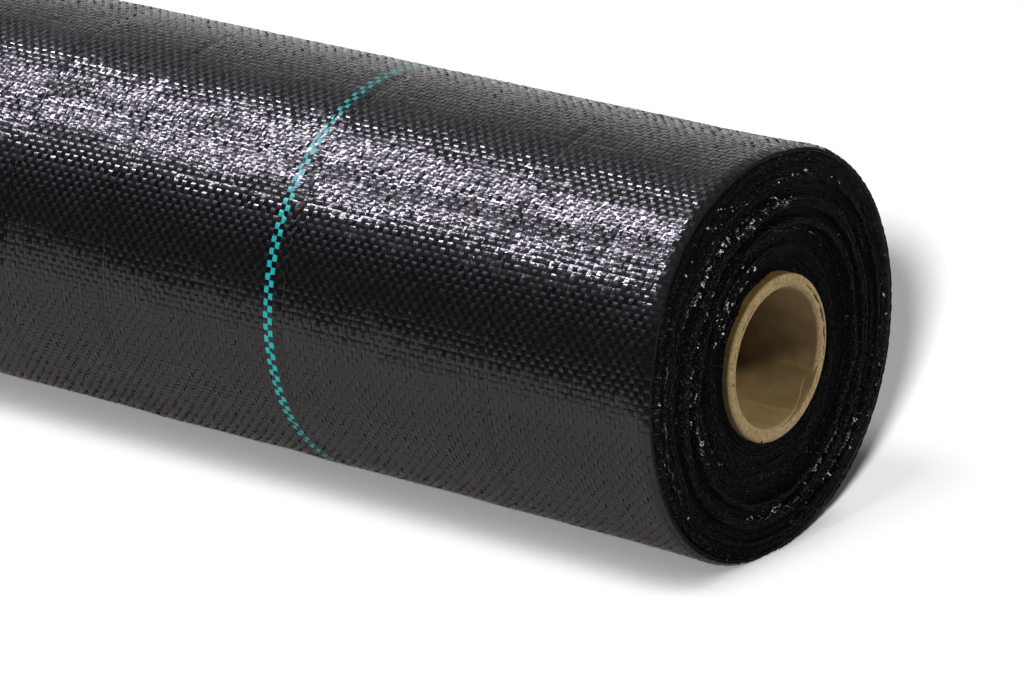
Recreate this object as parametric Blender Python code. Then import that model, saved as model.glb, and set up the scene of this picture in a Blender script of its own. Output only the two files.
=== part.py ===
"""Roll of woven ground-cover fabric on a spiral-wound cardboard core, lying on its side.

The roll's axis runs along X, +Z is up, and the origin is on the floor below the middle of the roll.
Lengths are in metres. Angles round the roll are measured from +Y towards +Z, as seen from +X. The
web winds outwards over the top and down the back, on the +Y side, so it turns against that angle.
"""

import math

import bmesh
import bpy
import numpy as np

# The web: the woven cloth as it comes off the loom
WEB_WIDTH = 1.0
WEB_THICKNESS = 0.0003
LAYER_GAP = 0.00045
EDGE_WANDER = 0.0024
EDGE_WANDER_CENTRE = math.radians(163)
EDGE_WANDER_WAVES = 2.4

# The roll as it lies on the floor
ROLL_RADIUS = 0.0742
OUTER_TURNS = 2
SEGMENTS_PER_TURN = 72
FLOOR_FLAT = 0.0005
FACE_STEP = 0.0015
BODY_CORE_CLEARANCE = 0.0003

# Rings on the end faces: how far out each one reaches, as a share of the wound depth, and how far it
# stands out of the face, as a share of the face step
FACE_RING_SHARES = (
    (0.06, -1.0),
    (0.15, 0.4),
    (0.26, -0.3),
    (0.38, 0.7),
    (0.50, 0.0),
    (0.63, 0.9),
    (0.75, 0.1),
    (0.86, 0.8),
    (0.95, -0.4),
    (1.00, 0.3),
)

# The free end, which peels off the back of the roll
FREE_END_ROOT_ANGLE = math.radians(30)
FREE_END_ARC = math.radians(90)
HINGE_TO_FREE_END = 0.00015
HINGE_TO_ROLL = 0.00035

# Marker lines: pairs of turquoise warp tapes, evenly spaced over the width
MARKER_LINES = 3
TAPES_PER_LINE = 2
WARP_PITCH = 0.002
MARKER_TAPE_WIDTH = 0.0017
MARKER_TAPE_THICKNESS = 0.0003
MARKER_CLEARANCE = 0.0003
MARKER_HINGE_SETBACK = 0.0015

# The core: plies of board wound as helical strips and glued into one tube
CORE_BORE_RADIUS = 0.025
CORE_PROUD = 0.0025
PLY_COUNT = 5
PLY_THICKNESS = 0.0008
PLY_GAP = 0.0003
STRIP_ADVANCE = 0.143
STRIP_SEAM = 0.0006
CORE_SEGMENTS = 40

CORE_LENGTH = WEB_WIDTH + 2 * CORE_PROUD
CORE_RADIUS = CORE_BORE_RADIUS + PLY_COUNT * PLY_THICKNESS + (PLY_COUNT - 1) * PLY_GAP
LAYER_PITCH = WEB_THICKNESS + LAYER_GAP
BODY_INNER_RADIUS = CORE_RADIUS + BODY_CORE_CLEARANCE
BODY_OUTER_RADIUS = ROLL_RADIUS - (OUTER_TURNS + 1) * LAYER_PITCH
DOWN = math.radians(-90)


def turns_to(angle, turn):
    """Turns wound from the start of the outer wraps to this angle, in the turn given."""
    return turn + (FREE_END_ROOT_ANGLE - angle) / math.tau


def angle_at(turns):
    return FREE_END_ROOT_ANGLE - math.tau * turns


def under_face_radius(turns):
    """Radius of the cloth's inner face, which grows by one layer in each turn."""
    return BODY_OUTER_RADIUS + LAYER_GAP + LAYER_PITCH * turns


def arc_in_turns(length, turns):
    return length / (math.tau * under_face_radius(turns))


FIRST_BOTTOM = turns_to(DOWN, 0)
LAST_BOTTOM = turns_to(DOWN, OUTER_TURNS - 1)
AXIS_HEIGHT = under_face_radius(LAST_BOTTOM) + WEB_THICKNESS - FLOOR_FLAT
HINGE_RADIUS = under_face_radius(OUTER_TURNS) + WEB_THICKNESS / 2
FREE_EDGE = OUTER_TURNS + FREE_END_ARC / math.tau


def winding_point(x, turns, above_under_face):
    """A point of the winding, in a frame on the roll's axis. Where the roll lies on the floor, each
    turn is pressed flat, all by the same depth, so that the turns keep their gap."""
    radius = under_face_radius(turns) + above_under_face
    bottom = FIRST_BOTTOM + round(turns - FIRST_BOTTOM)
    pressed = FLOOR_FLAT - under_face_radius(bottom) - above_under_face
    angle = angle_at(turns)
    return (x, radius * math.cos(angle), max(radius * math.sin(angle), pressed))


def edge_wander(turns):
    """How far the web's edges stray along X, most on the front of the roll."""
    angle = math.remainder(angle_at(turns) - EDGE_WANDER_CENTRE, math.tau)
    fade = math.cos(angle / 2) ** 2
    return EDGE_WANDER * fade * math.sin(EDGE_WANDER_WAVES * angle)


def stations(first, last):
    """Turns at which the winding has a cross-section: both ends, and the facet lines between them."""
    step = 1 / SEGMENTS_PER_TURN
    lines = range(math.ceil(first / step), math.floor(last / step) + 1)
    inner = [line * step for line in lines if first + step / 4 < line * step < last - step / 4]
    return [first, *inner, last]


def wound_strip(first, last, middle, width, under_side, thickness):
    """Cross-sections of a strip that follows the winding between two numbers of turns."""
    loops = []
    for turns in stations(first, last):
        near = middle + width / 2 + edge_wander(turns)
        far = middle - width / 2 + edge_wander(turns)
        loops.append(
            (
                winding_point(far, turns, under_side),
                winding_point(near, turns, under_side),
                winding_point(near, turns, under_side + thickness),
                winding_point(far, turns, under_side + thickness),
            )
        )
    return np.array(loops)


def body_loops():
    """Cross-sections of the wound body. Its outside climbs one layer in a turn, then steps back down
    where the outer wraps begin."""
    profile = []
    inner_share = 0
    for outer_share, height_share in FACE_RING_SHARES:
        face = WEB_WIDTH / 2 + height_share * FACE_STEP
        profile += [(face, inner_share), (face, outer_share)]
        inner_share = outer_share
    profile += [(-face, share) for face, share in reversed(profile)]
    loops = []
    for segment in range(SEGMENTS_PER_TURN):
        turns = segment / SEGMENTS_PER_TURN
        below_wraps = -LAYER_GAP
        _, outer_y, outer_z = winding_point(0, turns, below_wraps)
        angle = angle_at(turns)
        inner_y = BODY_INNER_RADIUS * math.cos(angle)
        inner_z = BODY_INNER_RADIUS * math.sin(angle)
        loops.append(
            [
                (x, inner_y + share * (outer_y - inner_y), inner_z + share * (outer_z - inner_z))
                for x, share in profile
            ]
        )
    return np.array(loops)


def core_point(x, radius, angle):
    return (x, radius * math.cos(angle), radius * math.sin(angle))


def tube_loops(inner_radius, outer_radius):
    """Cross-sections of a plain tube of the core's length."""
    ends = (-CORE_LENGTH / 2, CORE_LENGTH / 2)
    loops = []
    for segment in range(CORE_SEGMENTS):
        angle = -math.tau * segment / CORE_SEGMENTS
        inner = [core_point(x, inner_radius, angle) for x in ends]
        outer = [core_point(x, outer_radius, angle) for x in reversed(ends)]
        loops.append(inner + outer)
    return np.array(loops)


def helical_strip_loops(inner_radius, outer_radius):
    """Cross-sections of one strip of board wound helically, its turns a seam apart, and trimmed square
    at both ends of the core."""
    end = CORE_LENGTH / 2
    step = STRIP_ADVANCE / CORE_SEGMENTS
    loops = []
    for segment in range(math.ceil((CORE_LENGTH + STRIP_ADVANCE) / step)):
        leading_edge = segment * step - end
        near = min(leading_edge, end)
        far = max(leading_edge + STRIP_SEAM - STRIP_ADVANCE, -end)
        if near - far < step / 2:
            continue
        angle = -math.tau * segment / CORE_SEGMENTS
        loops.append(
            (
                core_point(far, inner_radius, angle),
                core_point(near, inner_radius, angle),
                core_point(near, outer_radius, angle),
                core_point(far, outer_radius, angle),
            )
        )
    return np.array(loops)


def skin(name, loops, material, closed=False):
    """An object whose surface joins each cross-section to the next, and the last to the first or, if
    it isn't closed, to caps."""
    mesh = bpy.data.meshes.new(name)
    shape = bmesh.new()
    rows = [[shape.verts.new(point) for point in loop] for loop in loops]
    joins = list(zip(rows, rows[1:]))
    if closed:
        joins.append((rows[-1], rows[0]))
    else:
        shape.faces.new(rows[0])
        shape.faces.new(rows[-1])
    for one, other in joins:
        for corner in range(len(one)):
            before = corner - 1
            shape.faces.new((one[before], one[corner], other[corner], other[before]))
    bmesh.ops.recalc_face_normals(shape, faces=shape.faces)
    shape.to_mesh(mesh)
    shape.free()
    mesh.shade_smooth()
    mesh.set_sharp_from_angle(angle=math.radians(30))
    mesh.materials.append(material)
    piece = bpy.data.objects.new(name, mesh)
    bpy.context.scene.collection.objects.link(piece)
    return piece


def on_roll_axis(piece):
    piece.location = (0, 0, AXIS_HEIGHT)


def on_hinge(piece, hinge):
    """Carries a piece of the free end on its hinge. Its points are still counted from the roll's axis."""
    piece.parent = hinge
    piece.location = (0, -hinge.location.y, AXIS_HEIGHT - hinge.location.z)


def least_gap(points, starts, ends):
    """Least distance from each point to the stretch of edge that is paired with it."""
    along = ends - starts
    share = ((points - starts) * along).sum(axis=1) / (along * along).sum(axis=1)
    nearest = starts + np.clip(share, 0, 1)[:, None] * along
    return np.linalg.norm(points - nearest, axis=1).min()


def print_winding_gap(name, loops, turn_points, facing_corners):
    """Prints how near a winding comes to its own next turn. Each pair of corners is one on a turn and
    the one that faces it on the next turn, and each point is held against the edge beside it."""
    gaps = []
    for corner, next_corner in facing_corners:
        edge = loops[:-turn_points, corner]
        points = loops[turn_points:, next_corner]
        gaps.append(least_gap(points[:-1], edge[:-1], edge[1:]))
        gaps.append(least_gap(points[1:], edge[:-1], edge[1:]))
    print(f"{name}: least gap to itself {1000 * min(gaps):.2f} mm, measured on its points")


def surface(name, colour, roughness):
    material = bpy.data.materials.new(name)
    material.use_nodes = True
    shader = material.node_tree.nodes["Principled BSDF"]
    shader.inputs["Base Color"].default_value = (*colour, 1)
    shader.inputs["Roughness"].default_value = roughness
    shader.inputs["Metallic"].default_value = 0
    return material


def add_core():
    """The cardboard core, from its liner out to its cover. Only the strips that show are wound."""
    board = surface("kraft board", (0.38, 0.24, 0.13), 0.85)
    for ply in range(1, PLY_COUNT + 1):
        inner_radius = CORE_BORE_RADIUS + (ply - 1) * (PLY_THICKNESS + PLY_GAP)
        outer_radius = inner_radius + PLY_THICKNESS
        if ply in (1, PLY_COUNT):
            name = "core_liner" if ply == 1 else "core_cover"
            loops = helical_strip_loops(inner_radius, outer_radius)
            on_roll_axis(skin(name, loops, board))
            print_winding_gap(name, loops, CORE_SEGMENTS, facing_corners=((1, 0), (2, 3)))
        else:
            on_roll_axis(skin(f"core_ply_{ply}", tube_loops(inner_radius, outer_radius), board, closed=True))


def add_fabric(hinge):
    """The wound body, the outer wraps as one unbroken spiral, and the free end that peels off."""
    cloth = surface("black woven polypropylene", (0.016, 0.016, 0.018), 0.42)
    on_roll_axis(skin("fabric_wound_body", body_loops(), cloth, closed=True))
    end_of_wraps = OUTER_TURNS - arc_in_turns(HINGE_TO_ROLL, OUTER_TURNS)
    wraps = wound_strip(0, end_of_wraps, 0, WEB_WIDTH, 0, WEB_THICKNESS)
    on_roll_axis(skin("fabric_outer_wraps", wraps, cloth))
    print_winding_gap("fabric_outer_wraps", wraps, SEGMENTS_PER_TURN, facing_corners=((3, 0), (2, 1)))
    root = OUTER_TURNS + arc_in_turns(HINGE_TO_FREE_END, OUTER_TURNS)
    free_end = wound_strip(root, FREE_EDGE, 0, WEB_WIDTH, 0, WEB_THICKNESS)
    on_hinge(skin("fabric_free_end", free_end, cloth), hinge)


def marker_start():
    """Turns at which the marker tapes leave the floor on the front of the roll."""
    under_side = WEB_THICKNESS + MARKER_CLEARANCE
    top_radius = under_face_radius(LAST_BOTTOM) + under_side + MARKER_TAPE_THICKNESS
    clear_height = AXIS_HEIGHT - MARKER_CLEARANCE
    return LAST_BOTTOM + math.acos(clear_height / top_radius) / math.tau


def add_marker_tapes(hinge):
    """Each turquoise tape in two lengths: one round the roll, and one on the free end."""
    turquoise = surface("turquoise polypropylene", (0.012, 0.33, 0.29), 0.35)
    under_side = WEB_THICKNESS + MARKER_CLEARANCE
    setback = arc_in_turns(MARKER_HINGE_SETBACK, OUTER_TURNS)
    for line in range(MARKER_LINES):
        line_middle = WEB_WIDTH * ((line + 0.5) / MARKER_LINES - 0.5)
        for tape in range(TAPES_PER_LINE):
            middle = line_middle + WARP_PITCH * (tape - (TAPES_PER_LINE - 1) / 2)
            size = (middle, MARKER_TAPE_WIDTH, under_side, MARKER_TAPE_THICKNESS)
            name = f"marker_{line + 1}_tape_{tape + 1}"
            on_roll = wound_strip(marker_start(), OUTER_TURNS - setback, *size)
            on_roll_axis(skin(name, on_roll, turquoise))
            on_free_end = wound_strip(OUTER_TURNS + setback, FREE_EDGE, *size)
            on_hinge(skin(f"{name}_free_end", on_free_end, turquoise), hinge)


def add_hinge():
    """The line where the free end leaves the roll, in the middle of the cloth's thickness."""
    hinge = bpy.data.objects.new("free_end_hinge", None)
    across = HINGE_RADIUS * math.cos(FREE_END_ROOT_ANGLE)
    up = HINGE_RADIUS * math.sin(FREE_END_ROOT_ANGLE)
    hinge.location = (0, across, AXIS_HEIGHT + up)
    bpy.context.scene.collection.objects.link(hinge)
    return hinge


def build_roll():
    for old in list(bpy.data.objects):
        bpy.data.objects.remove(old)
    add_core()
    hinge = add_hinge()
    add_fabric(hinge)
    add_marker_tapes(hinge)
    height, across, up = 1000 * AXIS_HEIGHT, 1000 * hinge.location.y, 1000 * hinge.location.z
    print(f"roll's axis {height:.3f} mm up, free end's hinge at y {across:.3f} mm, z {up:.3f} mm")


build_roll()
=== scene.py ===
"""Roll of black woven ground-cover fabric with turquoise marker lines, on its cardboard core."""

import math

import bpy
import numpy as np
from mathutils import Matrix, Vector


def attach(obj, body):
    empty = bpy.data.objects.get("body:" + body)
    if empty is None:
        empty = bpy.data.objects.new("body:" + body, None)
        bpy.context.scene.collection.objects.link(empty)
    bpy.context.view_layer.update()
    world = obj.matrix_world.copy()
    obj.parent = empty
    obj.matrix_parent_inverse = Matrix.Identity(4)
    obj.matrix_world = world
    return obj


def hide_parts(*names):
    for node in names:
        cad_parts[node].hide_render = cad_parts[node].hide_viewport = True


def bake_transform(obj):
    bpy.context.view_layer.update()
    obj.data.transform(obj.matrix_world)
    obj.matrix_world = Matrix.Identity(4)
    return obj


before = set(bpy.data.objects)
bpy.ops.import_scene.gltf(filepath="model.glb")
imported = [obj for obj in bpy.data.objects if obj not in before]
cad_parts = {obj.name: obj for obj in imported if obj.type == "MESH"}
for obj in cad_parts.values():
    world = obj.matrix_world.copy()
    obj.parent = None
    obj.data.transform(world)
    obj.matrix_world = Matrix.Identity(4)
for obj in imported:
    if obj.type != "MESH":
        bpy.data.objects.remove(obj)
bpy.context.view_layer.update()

# The camera stands in front of the roll, to the right of its near end, and looks down on it a
# little. Its place was found by fitting a cylinder to the outline and the end face in the photo.
CAMERA_PLACE = (1.5147, -1.4833, 0.6889)
CAMERA_TOWARDS = (-0.5732, 0.7535, -0.3217)
CAMERA_LENS = 192.74

camera_data = bpy.data.cameras.new("camera")
camera_data.sensor_width = 36
camera_data.lens = CAMERA_LENS
camera = bpy.data.objects.new("camera", camera_data)
camera.location = CAMERA_PLACE
camera.rotation_euler = Vector(CAMERA_TOWARDS).to_track_quat("-Z", "Y").to_euler()
bpy.context.scene.collection.objects.link(camera)
bpy.context.scene.camera = camera
bpy.context.scene.view_settings.view_transform = "Standard"

# The core is a tube of kraft board. Five plies are glued on each other while they are wound on a
# mandrel, the liner and the cover as helical strips whose edges meet in a seam. The tube is then
# cut square, and handling rounds and rubs the rim of the cut.
AXIS_HEIGHT = 0.0732
CORE_END = 0.5025
BORE_RADIUS = 0.025
PLY_PITCH = 0.00104
PLY_HAIRLINE = 0.00005
NOSE_DEPTH = 0.0016
NOSE_REACH = 0.0024
STRIP_ADVANCE = 0.143
STRIP_SEAM = 0.00035
LINER_SEAM = math.radians(100)
COVER_SEAM = math.radians(-110)
NOSE_STATIONS = np.array([0.0, 0.12, 0.3, 0.5, 0.7, 0.88, 1.0])
CORE_SEGMENTS = 144
LINER_COLOURS = ("#614e30", "#715e3c", "#7e6b49")
COVER_COLOURS = ("#3c2d14", "#4b391a", "#5c4824")
CUT_BOARD_COLOURS = ("#695639", "#7e6b49", "#8f7d5b")
LINER_CUT_DEPTH = 0.0014
COVER_CUT_DEPTH = 0.0008
FIBRE_LENGTH = 0.0022
FIBRE_WIDTH = 0.00045
HALF_WALL = 2.5 * PLY_PITCH
BOARD_ROUGHNESS = 0.82
BOARD_IOR = 1.45
PATCH_SIZE = (0.009, 0.006, 0.006)
SPECK_SIZE = (0.0012, 0.001, 0.001)
CUT_BLUR = 0.0003
RAGGED_DEPTH = 0.00012
TORN_DEPTH = 0.0042
SPLIT_DEPTH = 0.0012
FIRST_PLY_SEED = 20

# The liner's tear: its shares of the depth at angles from its start. Then the middle ply's splits,
# from one angle to another. All angles are in degrees.
TEAR_START = -94
TEAR_ANGLES = (0, 34, 60, 74)
TEAR_SHARES = (0, 0.35, 1, 0)
DEEP_SPLIT = (-12, 62)
SHALLOW_SPLIT = (120, 150)
SPLIT_RIPPLES = 23


def linear(colour):
    """The linear values of an sRGB colour written as hex, with full opacity."""
    share = np.array([int(colour[place:place + 2], 16) for place in (1, 3, 5)]) / 255
    values = np.where(share <= 0.04045, share / 12.92, ((share + 0.055) / 1.055) ** 2.4)
    return (*values.tolist(), 1.0)


def set_sockets(owner, node, values=(), links=()):
    """Gives some of a node's sockets their values, and others the outputs that feed them."""
    for socket, value in dict(values).items():
        node.inputs[socket].default_value = value
    for socket, output in dict(links).items():
        owner.node_tree.links.new(output, node.inputs[socket])


def add_node(owner, kind, settings=(), values=(), links=()):
    """A new node with its settings, the values of its sockets, and the outputs that feed them."""
    node = owner.node_tree.nodes.new(kind)
    for name, value in dict(settings).items():
        setattr(node, name, value)
    set_sockets(owner, node, values, links)
    return node


def colour_steps(owner, factor, steps):
    """A colour ramp through the hex colours given, each at its place from 0 to 1."""
    ramp = add_node(owner, "ShaderNodeValToRGB", links={"Fac": factor})
    elements = ramp.color_ramp.elements
    while len(elements) < len(steps):
        elements.new(1.0)
    for element, (place, colour) in zip(elements, steps):
        element.position = place
        element.color = linear(colour)
    return ramp.outputs["Color"]


def stretched_noise(owner, size, detail=3.0):
    """Noise in object space whose grains measure about the three lengths given, in metres."""
    place = add_node(owner, "ShaderNodeTexCoord").outputs["Object"]
    scaled = add_node(owner, "ShaderNodeMapping", values={"Scale": [1 / length for length in size]},
                      links={"Vector": place})
    noise = add_node(owner, "ShaderNodeTexNoise", values={"Scale": 1.0, "Detail": detail},
                     links={"Vector": scaled.outputs["Vector"]})
    return noise.outputs["Fac"]


def new_material(name, roughness, ior, values=()):
    """A material whose principled shader has no metal in it, and the values given of its sockets."""
    material = bpy.data.materials.new(name)
    material.use_nodes = True
    shader = material.node_tree.nodes["Principled BSDF"]
    set_sockets(material, shader, {"Metallic": 0.0, "Roughness": roughness, "IOR": ior})
    set_sockets(material, shader, values)
    return material, shader


def kraft_board(name, colours, cut_depth):
    """Kraft board: recycled brown fibre, rolled smooth but matt, browner in patches, with short
    fibres that lie round the tube. The cut end is paler, because the fibres there are torn, and it
    is specked where they stand up."""
    material, shader = new_material(name, BOARD_ROUGHNESS, BOARD_IOR)
    patches = stretched_noise(material, PATCH_SIZE)
    fibres = stretched_noise(material, (FIBRE_WIDTH, FIBRE_LENGTH, FIBRE_LENGTH), 4.0)
    both = add_node(material, "ShaderNodeMath", {"operation": "MULTIPLY_ADD"}, {1: 0.35},
                    {0: fibres, 2: patches})
    tone = add_node(material, "ShaderNodeMapRange",
                    values={"From Min": 0.34, "From Max": 1.02}, links={"Value": both.outputs[0]})
    brown = colour_steps(material, tone.outputs[0], list(zip((0.0, 0.5, 1.0), colours)))
    specks = stretched_noise(material, SPECK_SIZE, 4.0)
    torn = colour_steps(material, specks, list(zip((0.3, 0.5, 0.72), CUT_BOARD_COLOURS)))
    place = add_node(material, "ShaderNodeTexCoord").outputs["Object"]
    along = add_node(material, "ShaderNodeSeparateXYZ", links={"Vector": place}).outputs["X"]
    from_middle = add_node(material, "ShaderNodeMath", {"operation": "ABSOLUTE"}, links={0: along})
    cut_edge = CORE_END - cut_depth
    cut = add_node(material, "ShaderNodeMapRange",
                   values={"From Min": cut_edge - CUT_BLUR, "From Max": cut_edge + CUT_BLUR},
                   links={"Value": from_middle.outputs[0]})
    board = add_node(material, "ShaderNodeMix", {"data_type": "RGBA"},
                     links={0: cut.outputs[0], 6: brown, 7: torn})
    bump = add_node(material, "ShaderNodeBump", values={"Strength": 0.5, "Distance": 0.00015},
                    links={"Height": specks})
    set_sockets(material, shader,
                links={"Base Color": board.outputs[2], "Normal": bump.outputs["Normal"]})
    return material


def grid_faces(rows, columns, close_rows=False, close_columns=False):
    """Quads between neighbouring points of a grid, and from the last row or column to the first."""
    index = np.arange(rows * columns).reshape(rows, columns)
    if close_rows:
        index = np.vstack([index, index[:1]])
    if close_columns:
        index = np.hstack([index, index[:, :1]])
    corners = (index[:-1, :-1], index[:-1, 1:], index[1:, 1:], index[1:, :-1])
    return np.stack(corners, axis=-1).reshape(-1, 4)


def new_piece(name, points, faces, material, sharp_angle=math.radians(40)):
    """An object at the origin with the points and quads given, shaded smooth up to the angle."""
    mesh = bpy.data.meshes.new(name)
    mesh.from_pydata(np.asarray(points).reshape(-1, 3), [], faces)
    mesh.shade_smooth()
    mesh.set_sharp_from_angle(angle=sharp_angle)
    mesh.materials.append(material)
    piece = bpy.data.objects.new(name, mesh)
    bpy.context.scene.collection.objects.link(piece)
    return piece


def round_axis(x, radius, angle):
    """Points at a distance and an angle round the roll's axis, the angle from +Y towards +Z."""
    x, radius, angle = np.broadcast_arrays(x, radius, angle)
    return np.stack([x, radius * np.cos(angle), AXIS_HEIGHT + radius * np.sin(angle)], axis=-1)


def nose_fall(radius):
    """How far the core's cut end falls back at a radius: nothing in the middle of the wall, and a
    quarter of an ellipse towards the bore and towards the outside."""
    from_skin = HALF_WALL - np.abs(radius - (BORE_RADIUS + HALF_WALL))
    into_nose = np.clip(1 - from_skin / NOSE_REACH, 0, 1)
    return NOSE_DEPTH * (1 - np.sqrt(1 - into_nose ** 2))


def ply_section(ply, near, far):
    """Closed section of a ply between its ends, one row for each pair of them. It runs across the
    near end from the bore outwards, and back across the far end, and both ends follow the nose."""
    inner = BORE_RADIUS + PLY_PITCH * (ply - 1)
    radii = inner + (PLY_PITCH - PLY_HAIRLINE) * NOSE_STATIONS
    near, far = np.atleast_1d(near)[:, None], np.atleast_1d(far)[:, None]
    furthest = CORE_END - nose_fall(radii)
    near_x = np.minimum(near, furthest)
    far_x = np.maximum(far, -furthest)
    along = np.hstack([near_x, far_x[:, ::-1]])
    return along, np.broadcast_to(np.concatenate([radii, radii[::-1]]), along.shape)


def end_caps(rows, columns):
    """Quads that close the first and the last row of a tube, across from its low half to its high."""
    low = np.arange(columns // 2 - 1)
    first = np.stack([low, columns - 1 - low, columns - 2 - low, low + 1], axis=1)
    return np.vstack([first, columns * (rows - 1) + first[:, ::-1]])


def ply_surface(name, ply, near, far, angles, material, close):
    """A ply: its section carried round the axis, with a cap at each end of a strip."""
    along, radii = ply_section(ply, near, far)
    points = round_axis(along, radii, angles[:, None])
    rows, columns = points.shape[:2]
    faces = grid_faces(rows, columns, close_rows=close, close_columns=True)
    if not close:
        faces = np.vstack([faces, end_caps(rows, columns)])
    return new_piece(name, points, faces[:, ::-1], material)


def bump_between(angle, start, end):
    """A smooth rise and fall between two angles in degrees, from 0 to 1 and back, else nought."""
    share = np.mod(np.degrees(angle) - start, 360) / (end - start)
    return np.where(share < 1, np.sin(math.pi * np.clip(share, 0, 1)), 0)


def torn_back(ply, angles):
    """How far a ply's near edge lies back at each angle: the liner is torn below the bore's right
    side, deepest at its upper end, the middle ply is split from its neighbours at the upper right, and
    every edge is a little ragged."""
    draw = np.random.default_rng(FIRST_PLY_SEED + ply)
    ragged = RAGGED_DEPTH * np.abs(draw.normal(size=len(angles)))
    if ply == 1:
        from_start = np.mod(np.degrees(angles) - TEAR_START, 360)
        return ragged + TORN_DEPTH * np.interp(from_start, TEAR_ANGLES, TEAR_SHARES)
    if ply == 3:
        split = bump_between(angles, *DEEP_SPLIT) + 0.5 * bump_between(angles, *SHALLOW_SPLIT)
        return ragged + SPLIT_DEPTH * split * (0.6 + 0.4 * np.sin(SPLIT_RIPPLES * angles))
    return ragged


def helical_strip(seam):
    """Ends and angles of a strip that is wound as a helix: it turns once for each advance along the
    tube, is trimmed at both ends of it, and its seam comes out of the near end at the seam's angle."""
    step = STRIP_ADVANCE / CORE_SEGMENTS
    station = np.arange(math.ceil((2 * CORE_END + STRIP_ADVANCE) / step))
    leading = station * step - CORE_END
    near = np.minimum(leading, CORE_END)
    far = np.maximum(leading + STRIP_SEAM - STRIP_ADVANCE, -CORE_END)
    kept = near - far > step / 2
    angles = seam - math.tau * (leading - CORE_END) / STRIP_ADVANCE
    return near[kept], far[kept], angles[kept]


liner_board = kraft_board("kraft_board_liner", LINER_COLOURS, LINER_CUT_DEPTH)
cover_board = kraft_board("kraft_board_cover", COVER_COLOURS, COVER_CUT_DEPTH)
core_pieces = []
core_nodes = ("core_liner", "core_ply_2", "core_ply_3", "core_ply_4", "core_cover")
for ply, node in enumerate(core_nodes, 1):
    wound = ply in (1, 5)
    board = cover_board if ply == 5 else liner_board
    if wound:
        near, far, angles = helical_strip(LINER_SEAM if ply == 1 else COVER_SEAM)
    else:
        angles = -math.tau * np.arange(CORE_SEGMENTS) / CORE_SEGMENTS
        near, far = np.full(CORE_SEGMENTS, CORE_END), np.full(CORE_SEGMENTS, -CORE_END)
    near = np.minimum(near, CORE_END - torn_back(ply, angles))
    piece = ply_surface(f"kraft_{node}", ply, near, far, angles, board, close=not wound)
    core_pieces.append(piece)
    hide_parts(node)
    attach(piece, "roll")

# The inner turns of the web fill the roll from the core outwards, about 145 of them. They are one
# solid ring here, in two halves, and its end faces show the edges of the turns: each strays a
# little as it is wound, so the edges stand in rings and waves, some proud and some sunk.
BODY_INNER_RADIUS = 0.0305
BODY_OUTER_RADIUS = 0.07195
LAYER_GAP = 0.00045
LAYER_PITCH = 0.00075
WEB_HALF_WIDTH = 0.5
ROOT_ANGLE = math.radians(30)
EDGE_WANDER = 0.0024
EDGE_WANDER_CENTRE = math.radians(163)
EDGE_WANDER_WAVES = 2.4
PROUD_SHARE = 0.3
RIM_FLARE = 0.0012
RIM_FLARE_REACH = 0.012
RIM_CURL = 0.0013
RIM_CURL_REACH = 0.0045
RIM_CURL_LIMIT = 1.3
EDGE_RINGS = 74
FACE_SEGMENTS = 300
FACE_COLOUR = "#030303"
POLYPROPYLENE_IOR = 1.49
MILLIMETRE = 0.001
FACE_SEED = 11

# A ring of the end face: the depth of the valley before its edge, and where the valley lies and the
# edge's top starts and ends, as shares of the ring. Then how far inside the rim the profile has its
# stations along the outside.
VALLEY_DEPTH = 0.0004
RING_STATIONS = (0, 0.22, 0.82)
OUTSIDE_STATIONS = (0.0003, 0.004, 0.01, 0.02, 0.05)
INNERMOST_DROP = 0.0005

# An edge this much higher than its neighbours counts as fully proud, and a level one as this share
PROUD_HEIGHT = 0.001
LEVEL_SHARE = 0.15

# How far the edges stray beside their group's height: waves that neighbours share, waves and an
# offset of each edge's own, and the sunk place beside the core, with its angle in radians. Then where
# the web's wander sets in, and the share of the wound depth from there to the rim.
SHARED_RINGS = 16
SHARED_WAVE = 0.0003
OWN_WAVE = 0.00017
OWN_OFFSET = 0.00014
SUNK_DEPTH = 0.0028
SUNK_SHARE = 0.34
SUNK_ANGLE = 0.7
SUNK_REACH = 1.1
RIM_START = 0.55
RIM_SHARE = 0.45

# Where a group of edges ends, as a share of the wound depth, and how far it stands out, in mm
FACE_GROUPS = (
    (0.04, -0.2), (0.13, -0.9), (0.24, -0.4), (0.36, -1.3), (0.42, -0.6), (0.48, 1.5), (0.57, -0.7),
    (0.66, 1.2), (0.72, -0.6), (0.80, 0.1), (0.84, 1.3), (0.88, 1.0), (0.92, 1.1), (0.95, 0.5),
    (0.98, 0.4), (1.00, -0.1),
)
GROUP_STEP = 0.004

# The waves that shift the groups inwards and outwards: size, number round the roll, and phase
GROUP_SHIFTS = ((0.07, 1, -0.4), (0.035, 2, 2.1))


def edge_wander(angle):
    """How far the web's edges stray along X at an angle round the roll, most on the front."""
    from_centre = np.mod(angle - EDGE_WANDER_CENTRE + math.pi, math.tau) - math.pi
    stray = EDGE_WANDER * np.cos(from_centre / 2) ** 2 * np.sin(EDGE_WANDER_WAVES * from_centre)
    return np.where(stray > 0, PROUD_SHARE * stray, stray)


def flare(x):
    """How much thicker the roll is towards its ends, where the edges of the web are stretched, less
    the fall of the last few millimetres, where they curl inwards: the square of the way along them."""
    inside = np.abs(x) - WEB_HALF_WIDTH
    curled = np.clip(inside / RIM_CURL_REACH + 1, 0, RIM_CURL_LIMIT)
    return RIM_FLARE * np.exp(inside / RIM_FLARE_REACH) - RIM_CURL * curled ** 2


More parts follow.
